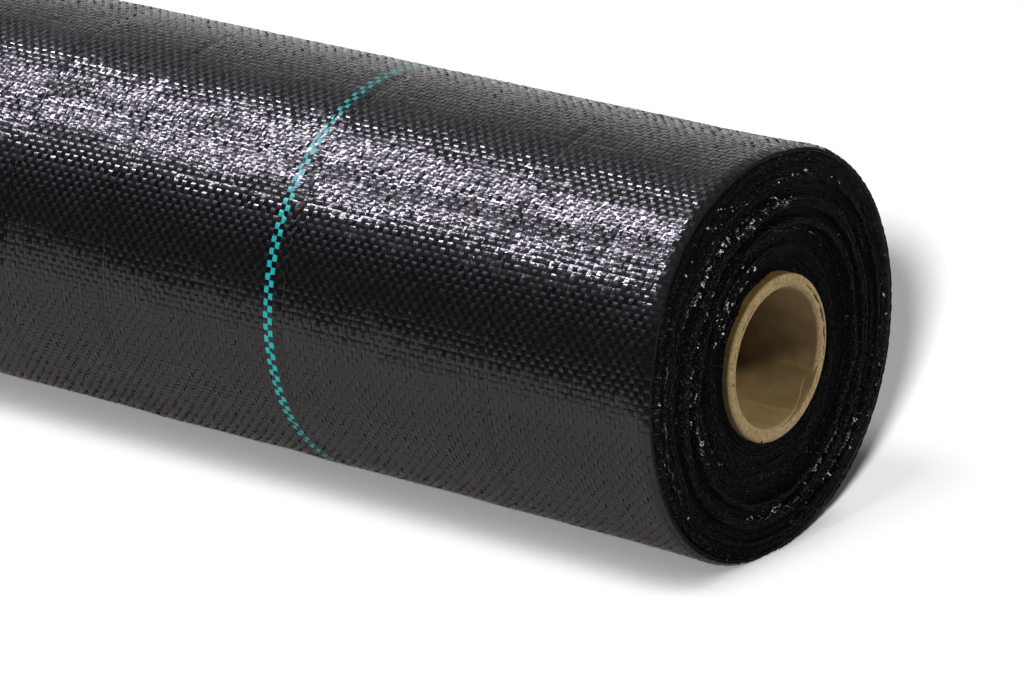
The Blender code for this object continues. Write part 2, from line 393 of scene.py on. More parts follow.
def waves_round(draw, rows, angles, fewest, most):
    """Smooth random waves round the axis, one row of them for each ring: a sum of sines whose number
    of waves runs from the fewest to the most, of random strength and phase, with a spread of 1."""
    counts = np.arange(fewest, most + 1)
    strength = draw.normal(size=(rows, len(counts))) * math.sqrt(2 / len(counts))
    phase = draw.uniform(0, math.tau, (rows, len(counts)))
    return (strength[..., None] * np.sin(counts[:, None] * angles + phase[..., None])).sum(axis=1)


def between_rings(values, share):
    """Rows of values spaced evenly over the wound depth, read at other shares of it."""
    place = share * (len(values) - 1)
    low = np.clip(place.astype(int), 0, len(values) - 2)
    part = (place - low)[:, None]
    return values[low] * (1 - part) + values[low + 1] * part


def face_height(share, angles, draw):
    """How far each edge of the end face stands out at each angle: the groups' heights, shifted
    inwards and outwards round the roll, plus waves that neighbouring edges share, a tremble of each
    edge's own, a sunk place beside the core, and the wander of the web towards the rim."""
    ends = np.array([0.0, *(end for end, _ in FACE_GROUPS)])
    starts_and_ends = np.stack([ends[:-1] + GROUP_STEP, ends[1:] - GROUP_STEP], axis=1).ravel()
    heights = np.repeat([MILLIMETRE * height for _, height in FACE_GROUPS], 2)
    shift = sum(size * np.sin(waves * angles + phase) for size, waves, phase in GROUP_SHIFTS)
    where = share[:, None] + shift * 4 * share[:, None] * (1 - share[:, None])
    grouped = np.interp(where, starts_and_ends, heights)
    shared = SHARED_WAVE * between_rings(waves_round(draw, SHARED_RINGS, angles, 1, 12), share)
    own = OWN_WAVE * waves_round(draw, len(share), angles, 3, 130)
    own = own + OWN_OFFSET * draw.normal(size=(len(share), 1))
    beside_core = np.clip(1 - share / SUNK_SHARE, 0, 1)[:, None] ** 0.5
    from_sunk_place = np.mod(angles - SUNK_ANGLE + math.pi, math.tau) - math.pi
    sunk = -SUNK_DEPTH * beside_core * np.exp(-(from_sunk_place / SUNK_REACH) ** 2)
    towards_rim = np.clip((share[:, None] - RIM_START) / RIM_SHARE, 0, 1)
    return grouped + shared + own + sunk + edge_wander(angles) * towards_rim


def cut_polypropylene_edges():
    """The cut edges of black polypropylene tape: bare ends packed side by side, which swallow
    nearly all light. Edges that stand proud are painted paler in specks, a painted sheen that the
    valleys and level edges get less of, and the gloss changes along them."""
    material, shader = new_material("polypropylene_cut_edges", 0.5, POLYPROPYLENE_IOR,
                                    {"Specular IOR Level": 0.03})
    proud = add_node(material, "ShaderNodeAttribute", {"attribute_name": "proud"}).outputs["Fac"]
    grain = stretched_noise(material, (0.0009, 0.0007, 0.0007), 4.0)
    raised = add_node(material, "ShaderNodeMapRange", values={"To Min": 0.35, "To Max": 1.0},
                      links={"Value": proud})
    specks = add_node(material, "ShaderNodeMapRange", values={"From Min": 0.5, "From Max": 0.72},
                      links={"Value": grain})
    painted_sheen = add_node(material, "ShaderNodeMath", {"operation": "MULTIPLY"},
                       links={0: raised.outputs[0], 1: specks.outputs[0]})
    colour = colour_steps(material, painted_sheen.outputs[0],
                          ((0.0, FACE_COLOUR), (0.35, "#0b0b0c"), (1.0, "#28282a")))
    bump = add_node(material, "ShaderNodeBump", values={"Strength": 0.6, "Distance": 0.0003},
                    links={"Height": grain})
    gloss = add_node(material, "ShaderNodeMapRange", values={"To Min": 0.3, "To Max": 0.75},
                     links={"Value": stretched_noise(material, (0.002, 0.0012, 0.0012))})
    set_sockets(material, shader, links={"Base Color": colour, "Roughness": gloss.outputs[0],
                                         "Normal": bump.outputs["Normal"]})
    return material


def wound_half(name, side, tops, material):
    """Half of the wound ring. Its profile climbs from the middle of the roll along the core, over
    the edges on the end face, each with a valley before it, and back along the outside. An edge
    counts as proud by its height above the edges next to it on both sides, and how proud it is sets
    the painted sheen of its colour; the valleys get none."""
    angles, outer, ring = face_angles, face_outer_radius, np.arange(EDGE_RINGS)
    valleys = np.vstack([tops[:1], np.minimum(tops[:-1], tops[1:])]) - VALLEY_DEPTH
    places = np.stack([ring + station for station in RING_STATIONS], axis=1).ravel() / EDGE_RINGS
    heights = np.stack([valleys, tops, tops], axis=1).reshape(-1, FACE_SEGMENTS)
    shares = np.concatenate([[0, 0], places, np.ones(len(OUTSIDE_STATIONS) + 1)])[:, None]
    x = np.concatenate([
        np.zeros((1, FACE_SEGMENTS)), WEB_HALF_WIDTH + valleys[:1] - INNERMOST_DROP,
        WEB_HALF_WIDTH + heights,
        *(WEB_HALF_WIDTH + tops[-1:] - back for back in OUTSIDE_STATIONS),
        np.zeros((1, FACE_SEGMENTS)),
    ])
    radius = BODY_INNER_RADIUS + shares * (outer - BODY_INNER_RADIUS) + shares ** 2 * flare(x)
    points = round_axis(side * x, radius, angles)
    around = (np.roll(tops, 3, axis=0) + np.roll(tops, -3, axis=0)) / 2
    proud = np.clip((tops - around) / PROUD_HEIGHT + LEVEL_SHARE, 0, 1)
    on_points = np.zeros(x.shape)
    not_in_valleys = np.tile([0.0, 1.0, 1.0], EDGE_RINGS)[:, None]
    on_points[2:2 + 3 * EDGE_RINGS] = np.repeat(proud, 3, axis=0) * not_in_valleys
    if side < 0:
        points, on_points = points[::-1], on_points[::-1]
    faces = grid_faces(len(points), FACE_SEGMENTS, close_rows=True, close_columns=True)
    piece = new_piece(name, points, faces, material)
    attribute = piece.data.attributes.new("proud", "FLOAT", "POINT")
    attribute.data.foreach_set("value", on_points.ravel().astype(np.float32))
    return piece


web_edges = cut_polypropylene_edges()
face_draw = np.random.default_rng(FACE_SEED)
face_angles = ROOT_ANGLE - math.tau * np.arange(FACE_SEGMENTS) / FACE_SEGMENTS
face_outer_radius = BODY_OUTER_RADIUS + LAYER_PITCH * np.arange(FACE_SEGMENTS) / FACE_SEGMENTS
ring_shares = (np.arange(EDGE_RINGS) + 0.5) / EDGE_RINGS
near_tops = face_height(ring_shares, face_angles, face_draw)
far_tops = face_height(ring_shares, face_angles, face_draw)
for name, side, tops in (("wound_web_near_half", 1, near_tops), ("wound_web_far_half", -1, far_tops)):
    piece = wound_half(name, side, tops, web_edges)
    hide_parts("fabric_wound_body")
    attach(piece, "roll")

# Loose tape ends: where the web was slit, short ends of tape stick out of the edges. The broad ones
# gather where a group of edges stands proud, and there they catch the light and carry pale painted
# glints. Fine stubble is all over, and in places a whole edge tape has worked out of the face.

# For each gathering: ring share and scatter, angle and reach in degrees, number, and widest in mm
LOOSE_END_PLACES = (
    (0.12, 0.02, 135, 30, 18, 2.0), (0.20, 0.02, 125, 25, 16, 2.0), (0.45, 0.02, 165, 30, 46, 2.4),
    (0.47, 0.02, 205, 18, 18, 2.0), (0.61, 0.02, 105, 22, 50, 2.8), (0.64, 0.02, 130, 18, 30, 2.8),
    (0.64, 0.02, -85, 22, 16, 2.6), (0.55, 0.02, -50, 18, 20, 2.8), (0.80, 0.02, -45, 16, 16, 2.4),
    (0.83, 0.02, 95, 40, 24, 1.8), (0.92, 0.03, 170, 60, 18, 1.6), (0.92, 0.03, -20, 25, 10, 1.6),
)
STUBBLE_PLACES = (
    (0.97, 0.03, 160, 90, 700, 0.8), (0.97, 0.03, -20, 110, 500, 0.8), (0.74, 0.13, -45, 40, 500, 0.9),
    (0.60, 0.16, 150, 50, 450, 0.9), (0.60, 0.20, 0, 180, 400, 0.7), (0.78, 0.08, 95, 40, 200, 0.8),
    (0.30, 0.10, -100, 50, 160, 0.8), (0.35, 0.10, 120, 50, 120, 0.8),
)

# Ring share, first and last angle in degrees, and how far the strip stands out, in mm
LOOSE_EDGE_PLACES = (
    (0.10, 118, 158, 0.6), (0.20, 106, 148, 0.8), (0.44, 150, 205, 0.9), (0.47, 138, 182, 1.1),
    (0.61, 90, 130, 1.1), (0.63, 80, 108, 0.8), (0.83, 72, 112, 0.7), (0.66, -96, -68, 0.9),
    (0.52, -66, -42, 1.0), (0.78, -58, -34, 1.0), (0.88, 150, 215, 0.4),
    (0.36, 55, 100, 0.5), (0.73, 120, 160, 0.5), (0.30, 170, 230, 0.6),
)
LOOSE_EDGE_STATIONS = 90
LOOSE_EDGE_SWAY = 0.0004
LOOSE_EDGE_ROWS = (-0.5, 0.3, 1.0)
LOOSE_END_LENGTHS = (0.0005, 0.0011)
LOOSE_END_EXTRA = 0.0003
LOOSE_END_LEAN = 0.45
LOOSE_END_TWIST = 0.5
LOOSE_END_TAPER = 0.4
LOOSE_END_STATIONS = 4


def drawn_tape_end(name, roughness, creased):
    """Ends of slit-film polypropylene tape: black and shiny. The pale colour of their creased
    patches is a painted glint.
    """
    material, shader = new_material(name, roughness, POLYPROPYLENE_IOR)
    painted_glint_patches = stretched_noise(material, (0.0008, 0.0008, 0.0008))
    colour = colour_steps(material, painted_glint_patches, ((0.46, "#050505"), (0.7, creased)))
    set_sockets(material, shader, links={"Base Color": colour})
    return material


def ribbon_faces(ribbons, stations, rows):
    """Quads of separate ribbons, each a grid of stations along it and rows of points across it."""
    index = np.arange(ribbons * stations * rows).reshape(ribbons, stations, rows)
    corners = (index[:, :-1, :-1], index[:, :-1, 1:], index[:, 1:, 1:], index[:, 1:, :-1])
    return np.stack(corners, axis=-1).reshape(-1, 4)


def nearest_segment(angle):
    """The segment of the end face at an angle round the roll."""
    return np.round((ROOT_ANGLE - angle) / math.tau * FACE_SEGMENTS).astype(int) % FACE_SEGMENTS


def loose_ends(name, places, side, tops, draw, material):
    """Short curved ribbons that leave the end face, each from a ring at an angle round the axis. A
    ribbon runs outwards along X, and leans along the radius and twists as its draws say."""
    counts = [place[4] for place in places]
    share, scatter, middle, reach, _, widest = np.repeat(np.array(places), counts, axis=0).T
    total = len(share)
    angle = np.radians(middle + reach * draw.uniform(-1, 1, total))
    share = np.clip(share + scatter * draw.normal(size=total), 0.02, 1.02)
    segment = nearest_segment(angle)
    ring = np.clip((share * EDGE_RINGS).astype(int), 0, EDGE_RINGS - 1)
    start = WEB_HALF_WIDTH + tops[ring, segment] - VALLEY_DEPTH
    radius = BODY_INNER_RADIUS + share * (face_outer_radius[segment] - BODY_INNER_RADIUS)
    length = draw.uniform(*LOOSE_END_LENGTHS, total)
    length = length + LOOSE_END_EXTRA * widest * draw.uniform(0, 1, total)
    half_width = MILLIMETRE / 2 * widest * (0.25 + draw.exponential(0.5, total).clip(0, 1.0))
    lean = draw.normal(0, LOOSE_END_LEAN, total) * length
    twist = draw.normal(0, LOOSE_END_TWIST, total)
    step = np.linspace(0, 1, LOOSE_END_STATIONS)
    x = start[:, None] + length[:, None] * step
    middle_radius = radius[:, None] + lean[:, None] * step ** 2
    edge = half_width[:, None, None] * (1 - LOOSE_END_TAPER * step[:, None]) * np.array([-1, 1])
    edge_radius = middle_radius[..., None] + edge * np.sin(twist)[:, None, None]
    edge_angle = angle[:, None, None] + edge * np.cos(twist)[:, None, None] / radius[:, None, None]
    points = round_axis(side * x[..., None], edge_radius, edge_angle)
    faces = ribbon_faces(total, LOOSE_END_STATIONS, 2)[:, ::side]
    return new_piece(name, points, faces, material)


def loose_edges(name, side, tops, draw, material):
    """Long strips of edge tape that have worked out of the face. A strip follows a ring between two
    angles, stands out furthest in its middle, and its free edge waves to both sides of the ring."""
    share, start, end, reach = (column[:, None] for column in np.array(LOOSE_EDGE_PLACES).T)
    step = np.linspace(0, 1, LOOSE_EDGE_STATIONS)
    angle = np.radians(start + (end - start) * step)
    segment = nearest_segment(angle)
    ring = np.broadcast_to((share * EDGE_RINGS).astype(int), segment.shape)
    radius = BODY_INNER_RADIUS + share * (BODY_OUTER_RADIUS - BODY_INNER_RADIUS)
    height = MILLIMETRE * reach * np.sin(math.pi * step) ** 0.5
    height = height * (0.8 + 0.25 * waves_round(draw, len(share), math.tau * step, 1, 14))
    sway = LOOSE_EDGE_SWAY * waves_round(draw, len(share), math.tau * step, 2, 12)
    up = np.array(LOOSE_EDGE_ROWS)
    x = WEB_HALF_WIDTH + tops[ring, segment][..., None] + height[..., None] * up
    edge_radius = radius[..., None] + sway[..., None] * np.clip(up, 0, 1)
    points = round_axis(side * x, edge_radius, angle[..., None])
    along_first = ribbon_faces(*points.shape[:3])[:, [0, 3, 2, 1]]
    return new_piece(name, points, along_first[:, ::side], material)


# The pale colour of each finish is a painted glint: bright on the broad ends, dimmer on the loose edges
# and the stubble.
painted_glint_tape_end = drawn_tape_end("polypropylene_loose_ends", 0.22, "#9c9ca0")
loose_edge_tape = drawn_tape_end("polypropylene_loose_edges", 0.3, "#3a3a3c")
stubble_tape_end = drawn_tape_end("polypropylene_stubble", 0.4, "#1b1b1d")
for end_name, side, tops in (("near", 1, near_tops), ("far", -1, far_tops)):
    ends = loose_ends(f"loose_ends_{end_name}", LOOSE_END_PLACES, side, tops, face_draw,
                      painted_glint_tape_end)
    stubble = loose_ends(f"stubble_{end_name}", STUBBLE_PLACES, side, tops, face_draw,
                         stubble_tape_end)
    edges = loose_edges(f"loose_edges_{end_name}", side, tops, face_draw, loose_edge_tape)
    for piece in (ends, stubble, edges):
        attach(piece, "roll")

# The outer turns of the web: one strip of cloth that winds twice round the body and is pressed
# flat where the roll lies on the floor. This is the cloth's ground, on which the tapes lie.
UNDER_FACE = BODY_OUTER_RADIUS + LAYER_GAP
FLOOR_FLAT = 0.0005
FIRST_BOTTOM = 1 / 3
OUTER_TURNS = 2
WANDER_START = 0.4
DENT_WAVES = 14
DENT_DEPTH = 0.00009
DENT_LENGTH = 0.035
DENT_SEED = 3
WARP_PITCH = 0.002
GROOVE_TAPES = (40, 133, 190, 265, 300, 354, 378, 420, 465)
GROOVE_DEPTH = 0.00022
GROOVE_REACH = 0.0014
GROUND_SEGMENTS = 288
GROUND_THICKNESS = 0.00018
GROUND_STATIONS = 61
GROUND_COLOUR = "#060607"


def dents(x, angle):
    """Shallow dents and swells of the wound cloth: a few crossing waves of random direction, and a
    narrow bell-shaped groove round the roll at each tape that was drawn tighter than the rest."""
    draw = np.random.default_rng(DENT_SEED)
    depth = np.zeros(np.broadcast(x, angle).shape)
    for _ in range(DENT_WAVES):
        round_waves = draw.integers(3, 13)
        along_waves = draw.uniform(-1, 1) * math.tau / DENT_LENGTH
        depth = depth + np.sin(round_waves * angle + along_waves * x + draw.uniform(0, math.tau))
    grooves = 0
    for tape in GROOVE_TAPES:
        from_tape = x + WEB_HALF_WIDTH - WARP_PITCH * tape
        grooves = grooves + np.exp(-(from_tape / GROOVE_REACH) ** 2)
    return DENT_DEPTH * depth / math.sqrt(DENT_WAVES / 2) - GROOVE_DEPTH * grooves


def on_web(x, turns, above):
    """Points of the web at x, after a number of turns, and at a height above the cloth's inner face.
    Each turn lies one layer further out than the last. Where the roll lies on the floor, each turn
    is pressed flat by the same depth. The wander of the web is added to x."""
    x, turns, above = np.broadcast_arrays(x, turns, above)
    angle = ROOT_ANGLE - math.tau * turns
    radius = UNDER_FACE + LAYER_PITCH * turns + above + flare(x) + dents(x, angle)
    bottom = FIRST_BOTTOM + np.round(turns - FIRST_BOTTOM)
    pressed = np.maximum(FLOOR_FLAT - (UNDER_FACE + LAYER_PITCH * bottom) - above, -AXIS_HEIGHT)
    height = np.maximum(radius * np.sin(angle), pressed)
    towards_rim = np.clip((np.abs(x) - WANDER_START) / (WEB_HALF_WIDTH - WANDER_START), 0, 1)
    stray = edge_wander(angle) * towards_rim ** 2
    return np.stack([x + stray, radius * np.cos(angle), AXIS_HEIGHT + height], axis=-1)


def web_ground():
    """Black polypropylene, as it shows in the chinks between the tapes and at the edges: dull,
    because little light gets there, and a little duller in one place than in the next."""
    material, shader = new_material("polypropylene_web_ground", 0.6, POLYPROPYLENE_IOR,
                                    {"Base Color": linear(GROUND_COLOUR)})
    gloss = add_node(material, "ShaderNodeMapRange", values={"To Min": 0.4, "To Max": 0.8},
                     links={"Value": stretched_noise(material, (0.002, 0.002, 0.002))})
    set_sockets(material, shader, links={"Roughness": gloss.outputs[0]})
    return material


def ground_strip(name, first, last, material):
    """A thin closed strip of the web's full width between two numbers of turns."""
    turns = np.linspace(first, last, int(GROUND_SEGMENTS * (last - first)) + 1)[:, None]
    steps = 0.5 * WEB_HALF_WIDTH * np.linspace(-1, 1, GROUND_STATIONS)
    across = steps + 0.5 * WEB_HALF_WIDTH * np.sin(math.pi * steps / WEB_HALF_WIDTH)
    sides = np.concatenate([across, across[::-1]])
    above = np.repeat([0, -GROUND_THICKNESS], GROUND_STATIONS)
    points = on_web(sides, turns, above)
    faces = grid_faces(len(turns), len(sides), close_columns=True)
    return new_piece(name, points, np.vstack([faces, end_caps(len(turns), len(sides))]), material)


outer_ground = ground_strip("web_outer_turns_ground", 0, OUTER_TURNS, web_ground())
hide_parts("fabric_outer_wraps")
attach(outer_ground, "roll")

# The weave: flat tapes slit from black polypropylene film and drawn until they shine. The warp runs
# round the roll and the weft along it, over one and under one. The warp bends more than the weft,
# so the weft lies flatter, and every tape is turned and creased a little differently.
WARP_COUNT = 500
PICKS_PER_TURN = 202
FREE_END_PICKS = 50
WARP_WIDTH = 0.00196
WEFT_WIDTH = 0.0022
WEAVE_MIDDLE = 0.00021
WARP_RISE = 0.00013
WEFT_RISE = 0.00007
CREST_SHARE = 0.3
WEFT_STUB_LENGTHS = (0.0001, 0.0005)
TIGHT_TAPE_WIDTH = 0.5
WIDTH_SPREAD = 0.012
TAPE_SHARP_ANGLE = math.radians(60)
WEAVE_SEED = 5

# How far the cloth between one tight tape and the next is turned, in radians
PANEL_TILTS = (0.02, -0.03, 0.03, -0.02, 0.03, -0.03, 0.035, 0.01, -0.02, -0.045)

# The spread of the tapes' own tilts at their crests, in radians: pitching lifts a crest's end and
# rolling its side. Rolling also changes slowly along a tape, over a number of crossings.
WARP_PITCHING, WARP_ROLLING = 0.062, 0.05
WEFT_PITCHING, WEFT_ROLLING = 0.08, 0.04
SLOW_ROLLING = 0.03
WARP_CHANGE, WEFT_CHANGE = 9, 18
WHOLE_WEFT_ROLLING = 0.02
WEFT_ROLLING_LIMIT = 0.13
WEFT_LIFT = 0.00002
WEFT_LIFT_CHANGE = 40

TAPE_COLOUR = "#070708"
CREASE_SCALE = (1 / 0.0022, 1 / 0.0009, 7.31)
CREASE_DEPTH = 0.00006
SKIN_ROUGHNESS = 0.1
MARKER_COLOUR = "#0a6a6d"
MARKER_TAPES = np.array([(82, 83), (249, 250), (416, 417)])

weave_draw = np.random.default_rng(WEAVE_SEED)
pick_count = PICKS_PER_TURN + FREE_END_PICKS + 1
pick_length = math.tau * (UNDER_FACE + 1.5 * LAYER_PITCH) / PICKS_PER_TURN
warp_x = WARP_PITCH * (np.arange(WARP_COUNT) + 0.5) - WEB_HALF_WIDTH
warp_over = np.where((np.arange(WARP_COUNT)[:, None] + np.arange(pick_count)) % 2 == 0, 1.0, -1.0)


def slow_change(draw, rows, columns, length):
    """Random values, one row for each tape, that change smoothly along it over about a length."""
    coarse = draw.normal(size=(rows, columns // length + 3))
    place = np.arange(columns) / length
    low = place.astype(int)
    part = place - low
    part = part * part * (3 - 2 * part)
    return coarse[:, low] * (1 - part) + coarse[:, low + 1] * part


warp_width = WARP_WIDTH * (1 - np.abs(weave_draw.normal(0, WIDTH_SPREAD, WARP_COUNT)))
warp_width[list(GROOVE_TAPES)] *= TIGHT_TAPE_WIDTH
panel_tilt = np.array(PANEL_TILTS)[np.searchsorted(GROOVE_TAPES, np.arange(WARP_COUNT))]
warp_pitching = panel_tilt[:, None] + weave_draw.normal(0, WARP_PITCHING, (WARP_COUNT, pick_count))
warp_rolling = weave_draw.normal(0, WARP_ROLLING, (WARP_COUNT, pick_count))
warp_rolling += SLOW_ROLLING * slow_change(weave_draw, WARP_COUNT, pick_count, WARP_CHANGE)
weft_rolling = panel_tilt + weave_draw.normal(0, WEFT_ROLLING, (pick_count, WARP_COUNT))
weft_rolling += SLOW_ROLLING * slow_change(weave_draw, pick_count, WARP_COUNT, WEFT_CHANGE)
weft_rolling += WHOLE_WEFT_ROLLING * weave_draw.normal(size=(pick_count, 1))
weft_rolling = np.clip(weft_rolling, -WEFT_ROLLING_LIMIT, WEFT_ROLLING_LIMIT)
weft_pitching = weave_draw.normal(0, WEFT_PITCHING, (pick_count, WARP_COUNT))
weft_lift = WEFT_LIFT * slow_change(weave_draw, pick_count, WARP_COUNT, WEFT_LIFT_CHANGE)
warp_gloss = weave_draw.uniform(0, 1, (WARP_COUNT, pick_count))
weft_gloss = weave_draw.uniform(0, 1, (pick_count, WARP_COUNT))


def drawn_polypropylene_tape(name, colour, roughest, smoothest, crown_slope, specular=0.4,
                             skin=0.0):
    """Slit-film polypropylene: film coloured through, slit and drawn to several times its length.
    It shines more on one stretch of tape than on the next. The warp, which the loom strains most, is
    dull from its split grain, with a share of smooth skin left on it. Each tape is crowned across its
    width, and creased along its grain, here every 0.9 mm so that the creases show. The attribute
    tape_place gives metres along the tape, metres across it and the tape's number."""
    material, shader = new_material(name, 0.3, POLYPROPYLENE_IOR, {
        "Base Color": linear(colour), "Specular IOR Level": specular,
        "Coat Weight": skin, "Coat Roughness": SKIN_ROUGHNESS})
    gloss = add_node(material, "ShaderNodeAttribute", {"attribute_name": "gloss"})
    roughness = add_node(material, "ShaderNodeMapRange",
                         values={"To Min": roughest, "To Max": smoothest},
                         links={"Value": gloss.outputs["Fac"]})
    on_tape = add_node(material, "ShaderNodeAttribute", {"attribute_name": "tape_place"})
    place = on_tape.outputs["Vector"]
    across = add_node(material, "ShaderNodeSeparateXYZ", links={"Vector": place}).outputs["Y"]
    crown = add_node(material, "ShaderNodeMath", {"operation": "MULTIPLY"},
                     links={0: across, 1: across})
    lowered = add_node(material, "ShaderNodeMath", {"operation": "MULTIPLY"},
                       {1: -crown_slope / WARP_PITCH}, {0: crown.outputs[0]})
    crease_place = add_node(material, "ShaderNodeMapping", values={"Scale": CREASE_SCALE},
                            links={"Vector": place})
    creases = add_node(material, "ShaderNodeTexNoise", values={"Scale": 1.0, "Detail": 2.0},
                       links={"Vector": crease_place.outputs["Vector"]})
    height = add_node(material, "ShaderNodeMath", {"operation": "MULTIPLY_ADD"}, {1: CREASE_DEPTH},
                      {0: creases.outputs["Fac"], 2: lowered.outputs[0]})
    bump = add_node(material, "ShaderNodeBump", values={"Strength": 1.0, "Distance": 1.0},
                    links={"Height": height.outputs[0]})
    set_sockets(material, shader,
                links={"Roughness": roughness.outputs[0], "Normal": bump.outputs["Normal"]})
    return material


def tape_piece(name, points, gloss, along, width, numbers, material):
    """Tapes as flat ribbons: points in tapes, stations along each, and its two edges. Each tape has
    its gloss and its distance along at every station, its width, and its number."""
    tapes, stations = points.shape[:2]
    faces = ribbon_faces(tapes, stations, 2)
    piece = new_piece(name, points, faces, material, TAPE_SHARP_ANGLE)
    shine = piece.data.attributes.new("gloss", "FLOAT", "POINT")
    shine.data.foreach_set("value", np.repeat(gloss, 2, axis=-1).ravel().astype(np.float32))
    place = np.zeros((tapes, stations, 2, 3), np.float32)
    place[..., 0] = np.broadcast_to(along, (tapes, stations))[..., None]
    place[..., 1] = np.broadcast_to(width, (tapes,))[:, None, None] * np.array([-0.5, 0.5])
    place[..., 2] = numbers[:, None, None]
    on_tape = piece.data.attributes.new("tape_place", "FLOAT_VECTOR", "POINT")
    on_tape.data.foreach_set("vector", place.ravel())
    return piece


def warp_tapes(name, tapes, first_pick, last_pick, material, fringe=0):
    """Warp tapes between two picks. A tape has two stations at each pick, at the edges of the flat
    crest that it makes over or under the weft, and lies tilted there as its draws say. With a
    fringe, each runs on past its last crest by a random number of picks up to that."""
    picks = np.arange(first_pick, last_pick)
    side = np.array([-1.0, 1.0])
    turns = 1 + (picks[:, None] + 0.5 + CREST_SHARE * side) / PICKS_PER_TURN
    turns = np.tile(turns, (len(tapes), 1, 1))
    turns[:, -1, 1] += weave_draw.uniform(0, fringe, len(tapes)) / PICKS_PER_TURN
    rise = WARP_RISE * warp_over[np.ix_(tapes, picks)]
    pitching = CREST_SHARE * pick_length * warp_pitching[np.ix_(tapes, picks)]
    lengthwise = rise[..., None] + pitching[..., None] * side
    half_width = warp_width[tapes] / 2
    rolling = half_width[:, None] * warp_rolling[np.ix_(tapes, picks)]
    above = WEAVE_MIDDLE + lengthwise[..., None] + rolling[..., None, None] * side
    x = (warp_x[tapes, None] + half_width[:, None] * side)[:, None, None, :]
    points = on_web(x, turns[..., None], above)
    gloss = np.repeat(warp_gloss[np.ix_(tapes, picks)], 2, axis=1)
    along = pick_length * PICKS_PER_TURN * (turns.reshape(len(tapes), -1) - 1)
    points = points.reshape(len(tapes), -1, 2, 3)
    return tape_piece(name, points, gloss, along, warp_width[tapes], tapes, material)


def weft_tapes(name, first_pick, last_pick, material):
    """Weft tapes, one for each pick, across the whole web, with their cut ends just outside it."""
    picks = np.arange(first_pick, last_pick)
    side = np.array([-1.0, 1.0])
    x = warp_x[:, None] + CREST_SHARE * WARP_PITCH * side
    rise = -WEFT_RISE * warp_over.T[picks] + weft_lift[picks]
    pitching = CREST_SHARE * WARP_PITCH * weft_pitching[picks]
    lengthwise = rise[..., None] + pitching[..., None] * side
    half_width = WEFT_WIDTH / 2
    rolling = half_width * weft_rolling[picks]
    edge = np.array([1.0, -1.0])
    above = WEAVE_MIDDLE + lengthwise[..., None] + rolling[..., None, None] * edge
    turns = 1 + (picks[:, None] + 0.5 + half_width / pick_length * edge) / PICKS_PER_TURN
    x = np.broadcast_to(x, (len(picks), *x.shape)).copy()
    x[:, 0, 0] -= weave_draw.uniform(*WEFT_STUB_LENGTHS, len(picks))
    x[:, -1, -1] += weave_draw.uniform(*WEFT_STUB_LENGTHS, len(picks))
    points = on_web(x[..., None], turns[:, None, None, :], above)
    gloss = np.repeat(weft_gloss[picks], 2, axis=1)
    points = points.reshape(len(picks), -1, 2, 3)
    along = x.reshape(len(picks), -1)
    return tape_piece(name, points, gloss, along, WEFT_WIDTH, WARP_COUNT + picks, material)


black_warp = drawn_polypropylene_tape(
    "polypropylene_warp_tape", TAPE_COLOUR, roughest=0.5, smoothest=0.34, crown_slope=0.04,
    specular=0.22, skin=0.45)
black_weft = drawn_polypropylene_tape(
    "polypropylene_weft_tape", TAPE_COLOUR, roughest=0.2, smoothest=0.08, crown_slope=0.03)
turquoise_tape = drawn_polypropylene_tape(
    "polypropylene_marker_tape", MARKER_COLOUR, roughest=0.42, smoothest=0.26, crown_slope=0.08)

black_tapes = np.setdiff1d(np.arange(WARP_COUNT), MARKER_TAPES)
roll_weave = []
for number, tapes in enumerate(np.array_split(black_tapes, 3), 1):
    roll_weave.append(warp_tapes(f"warp_tapes_{number}", tapes, 0, PICKS_PER_TURN, black_warp))
for number, picks in enumerate(np.array_split(np.arange(PICKS_PER_TURN), 3), 1):
    roll_weave.append(weft_tapes(f"weft_tapes_{number}", picks[0], picks[-1] + 1, black_weft))
for piece in roll_weave:
    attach(piece, "roll")

# The marker lines: in three places of the warp, two neighbouring tapes are turquoise. They are
# woven as the black ones are, and show the gardener a straight line to plant along.
for line, tapes in enumerate(MARKER_TAPES, 1):
    piece = warp_tapes(f"marker_line_{line}", tapes, 0, PICKS_PER_TURN, turquoise_tape)
    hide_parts(f"marker_{line}_tape_1", f"marker_{line}_tape_2")
    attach(piece, "roll")

# The free end of the web, the last quarter turn, hangs down the back of the roll. It is nothing but
# the weave, so it shows on both sides. Its cut edge is frayed: the warp tapes stick out of it by
# different lengths.
HINGE_CLEARANCE = 0.00015
HINGE_RADIUS = UNDER_FACE + OUTER_TURNS * LAYER_PITCH + HINGE_CLEARANCE
FRINGE_PICKS = 2.2


def free_end(piece):
    """Works out where a piece of the free end leaves the roll, which nothing uses, and bakes the
    piece's placement into its mesh.
    """
    root = round_axis(0, HINGE_RADIUS, ROOT_ANGLE)
    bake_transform(piece)


last_pick = PICKS_PER_TURN + FREE_END_PICKS
free_weft = weft_tapes("free_end_weft", PICKS_PER_TURN, last_pick, black_weft)
free_warp = warp_tapes("free_end_warp", black_tapes, PICKS_PER_TURN, last_pick + 1, black_warp,
                       FRINGE_PICKS)
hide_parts("fabric_free_end")
free_end(free_weft)
free_end(free_warp)
for line, tapes in enumerate(MARKER_TAPES, 1):
    piece = warp_tapes(f"free_end_marker_{line}", tapes, PICKS_PER_TURN, last_pick + 1,
                       turquoise_tape, FRINGE_PICKS)
    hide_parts(f"marker_{line}_tape_1_free_end", f"marker_{line}_tape_2_free_end")
    free_end(piece)

